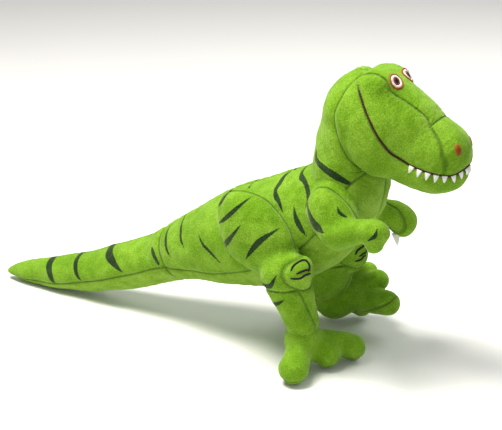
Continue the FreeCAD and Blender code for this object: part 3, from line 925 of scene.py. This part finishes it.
KNEE_LINES = [[(-13, -18, 5), (-11, -15, 11), (-5, -6, 14), (0, -5, 9), (0, -9, 4)],
              [(-8, -17, 3), (-2, -11, 6), (1, -6, 5)],
              [(-13, -19, -2), (-5, -15, -1), (-1, -12, 2), (2, -6, 2)]]
KNEE_SHIFT = {RIGHT: (0, 0, 0), LEFT: (9, 7, -6)}      # the raised leg's embroidery faces further forward


def build_leg(side, word):
    knee = np.array(KNEE[side])

    def patch(p):
        flat = np.linalg.norm((p - knee)[:, :2], axis=1)
        return KNEE_TALL * (1 - np.hypot(flat / KNEE_WIDE, (p[:, 2] - knee[2]) / KNEE_TALL))

    outer = beyond((0, LEG_MIDDLE[side], 0), (0, side, 0))
    lower = beyond(SHIN_TOP[side], (0.1, 0, -1))
    front = beyond((0, side * 61, 70), (0, side, -0.36))

    def split(p):
        return np.where(patch(p) > 0, 30, np.where(lower(p) > 0, front(p), outer(p)))

    seams = [(at_seam(split), 0.8, 2.2), (at_seam(patch), 1.0, 2.0),
             (at_seam(lambda p: np.where(patch(p) > 0, 30, lower(p))), 1.1, 2.6)]
    skin = Skin(lambda p: leg(p, side), seams, 0.8)
    rows, triangles = skin.mesh(*LEG_BOX[side], LEG_STRIPES)
    upper = less(lower)
    thigh_parts = [
        panel("thigh_outside_" + word, rows, triangles, [less(patch), upper, outer], PLUSH,
              "thigh_panel_outer_" + word),
        panel("thigh_inside_" + word, rows, triangles, [less(patch), upper, less(outer)], PLUSH,
              "thigh_panel_inner_" + word),
        panel("knee_cover_" + word, rows, triangles, [patch], PLAIN, "knee_patch_" + word)]
    lines = []
    for row in KNEE_LINES:
        at = knee + np.array(row) + np.array(KNEE_SHIFT[side])
        lines.append(stitched_line("line", skin, at, 2.3, 0.9, BLACK, 1.6))
    thigh_parts.append(joined("knee_lines_" + word, lines, "knee_stitching_" + word))
    for part in thigh_parts:
        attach(part, "leg_" + word)
    shin_parts = [
        panel("shin_outside_" + word, rows, triangles, [less(patch), lower, front], PLUSH,
              "shin_panel_outer_" + word),
        panel("shin_inside_" + word, rows, triangles, [less(patch), lower, less(front)], PLUSH,
              "shin_panel_inner_" + word),
        filling("leg_fibre_" + word, lambda p: leg(p, side), *LEG_BOX[side], "leg_stuffing_" + word)]
    for part in shin_parts:
        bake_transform(part)


def build_foot(side, word):
    sole = beyond(*SOLE_PLANE[side])
    skin = Skin(lambda p: foot(p, side), [(at_seam(sole), 0.7, 1.8)], 0.5)
    rows, triangles = skin.mesh(*FOOT_BOX[side])
    parts = [panel("foot_cover_" + word, rows, triangles, [sole], PLAIN, "foot_upper_" + word),
             panel("foot_base_" + word, rows, triangles, [less(sole)], PALE, "foot_sole_" + word),
             filling("foot_fibre_" + word, lambda p: foot(p, side), *FOOT_BOX[side], "foot_stuffing_" + word)]
    for part in parts:
        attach(part, "foot_" + word)


def joined(name, objects, node):
    """Several small pieces as one object."""
    soft = bmesh.new()
    for obj in objects:
        soft.from_mesh(obj.data)
    mesh = bpy.data.meshes.new(name)
    soft.to_mesh(mesh)
    soft.free()
    mesh.materials.append(objects[0].data.materials[0])
    whole = bpy.data.objects.new(name, mesh)
    bpy.context.scene.collection.objects.link(whole)
    for obj in objects:
        bpy.data.objects.remove(obj)
    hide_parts(node)
    return slotted(whole)


# ---------------------------------------------------------------- floor, light and camera

def soft_light(name, place_at, aim, size, watts, colour=(1, 1, 1)):
    lamp = bpy.data.lights.new(name, "AREA")
    lamp.energy, lamp.size, lamp.color = watts, size, colour
    obj = bpy.data.objects.new(name, lamp)
    obj.location = place_at
    obj.rotation_euler = (Vector(aim) - Vector(place_at)).to_track_quat("-Z", "Y").to_euler()
    bpy.context.scene.collection.objects.link(obj)


def studio():
    floor = bpy.data.meshes.new("floor")
    reach = 6.0
    floor.from_pydata([(-reach, -reach, 0), (reach, -reach, 0), (reach, reach, 0), (-reach, reach, 0)], [],
                      [(0, 1, 2, 3)])
    paper = Nodes("floor_paper")
    at = paper.add("ShaderNodeTexCoord").outputs["Object"]
    paper.put(paper.shader.inputs["Base Color"],
              paper.mix(paper.noise(at, 3.0), linear("#e6e6e4"), linear("#ebebe9")))
    paper.put(paper.shader.inputs["Roughness"], 0.9)
    paper.put(paper.shader.inputs["Specular IOR Level"], 0.1)
    floor.materials.append(paper.material)
    ground = bpy.data.objects.new("floor", floor)
    ground.location.z = min(0.0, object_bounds()[0].z) - 0.0005
    bpy.context.scene.collection.objects.link(ground)
    ground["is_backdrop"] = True
    world = bpy.data.worlds.new("studio")
    world.use_nodes = True
    world.node_tree.nodes["Background"].inputs["Color"].default_value = (1, 1, 1, 1)
    world.node_tree.nodes["Background"].inputs["Strength"].default_value = 0.36
    bpy.context.scene.world = world
    bpy.context.scene.view_settings.view_transform = "Standard"
    aim = (0.04, 0, 0.13)
    soft_light("key", (-0.3, -0.3, 1.65), aim, 0.7, 48, (1.0, 0.97, 0.9))
    soft_light("fill", (1.0, -1.3, 0.8), aim, 1.2, 2.5)
    soft_light("back", (0.5, 1.2, 1.3), aim, 1.2, 12)


def camera():
    azimuth, elevation, away = math.radians(30), math.radians(20), 1.3
    aim = Vector((0.0444, 0, 0.1265))
    towards = Vector((math.sin(azimuth) * math.cos(elevation), -math.cos(azimuth) * math.cos(elevation),
                      math.sin(elevation)))
    lens = bpy.data.cameras.new("camera")
    lens.sensor_width = 36
    lens.lens = 93.2
    view = bpy.data.objects.new("camera", lens)
    view.location = aim + towards * away
    view.rotation_euler = towards.to_track_quat("Z", "Y").to_euler()
    bpy.context.scene.collection.objects.link(view)
    bpy.context.scene.camera = view


build_trunk()
build_head()
for side, word in SIDES:
    build_arm(side, word)
    build_leg(side, word)
    build_foot(side, word)
studio()
camera()
